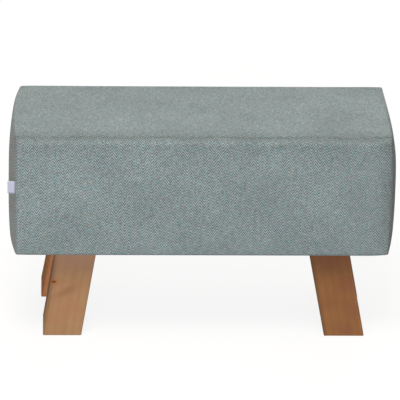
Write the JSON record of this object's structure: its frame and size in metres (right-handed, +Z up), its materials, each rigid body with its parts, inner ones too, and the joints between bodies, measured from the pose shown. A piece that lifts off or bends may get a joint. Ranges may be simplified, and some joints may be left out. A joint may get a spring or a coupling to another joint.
{
  "type": "upholstered bench",
  "caption": "Low rectangular bench with a thick padded block in herringbone tweed on splayed plank legs, for sitting on.",
  "frame": {"origin": "on the floor under the middle of the bench", "axes": "+X along the bench to the right as seen from the front, -Y towards the front, +Z up"},
  "size_m": [0.8, 0.3367, 0.4499],
  "materials": {
    "cover_tweed": "matte",
    "label_ribbon": "matte",
    "dust_cloth": "matte",
    "wadding": "matte",
    "foam": "matte",
    "birch_plywood": "matte",
    "pine": "matte",
    "tan_leg_timber": "satin",
    "brown_leg_timber": "satin",
    "zinc_steel": "satin",
    "staple_wire": "satin"
  },
  "bodies": {
    "root": {"cover_top_panel": "cover_tweed", "cover_front_panel": "cover_tweed", "cover_rear_panel": "cover_tweed", "cover_left_end_panel": "cover_tweed", "cover_right_end_panel": "cover_tweed", "side_label": "label_ribbon", "dust_cover": "dust_cloth", "wadding_wrap": "wadding", "seat_foam": "foam", "front_foam": "foam", "rear_foam": "foam", "left_end_foam": "foam", "right_end_foam": "foam", "front_rail": "birch_plywood", "rear_rail": "birch_plywood", "left_end_board": "birch_plywood", "right_end_board": "birch_plywood", "seat_deck": "birch_plywood", "centre_rib": "birch_plywood", "left_leg_bearer": "pine", "right_leg_bearer": "pine", "front_left_corner_block": "pine", "front_right_corner_block": "pine", "rear_left_corner_block": "pine", "rear_right_corner_block": "pine", "front_left_leg": "tan_leg_timber", "rear_left_leg": "tan_leg_timber", "front_right_leg": "brown_leg_timber", "rear_right_leg": "brown_leg_timber", "frame_screws": "zinc_steel", "deck_screws": "zinc_steel", "leg_studs": "zinc_steel", "leg_washers": "zinc_steel", "leg_nuts": "zinc_steel", "cover_staples": "staple_wire", "dust_cover_staples": "staple_wire"}
  },
  "joints": []
}
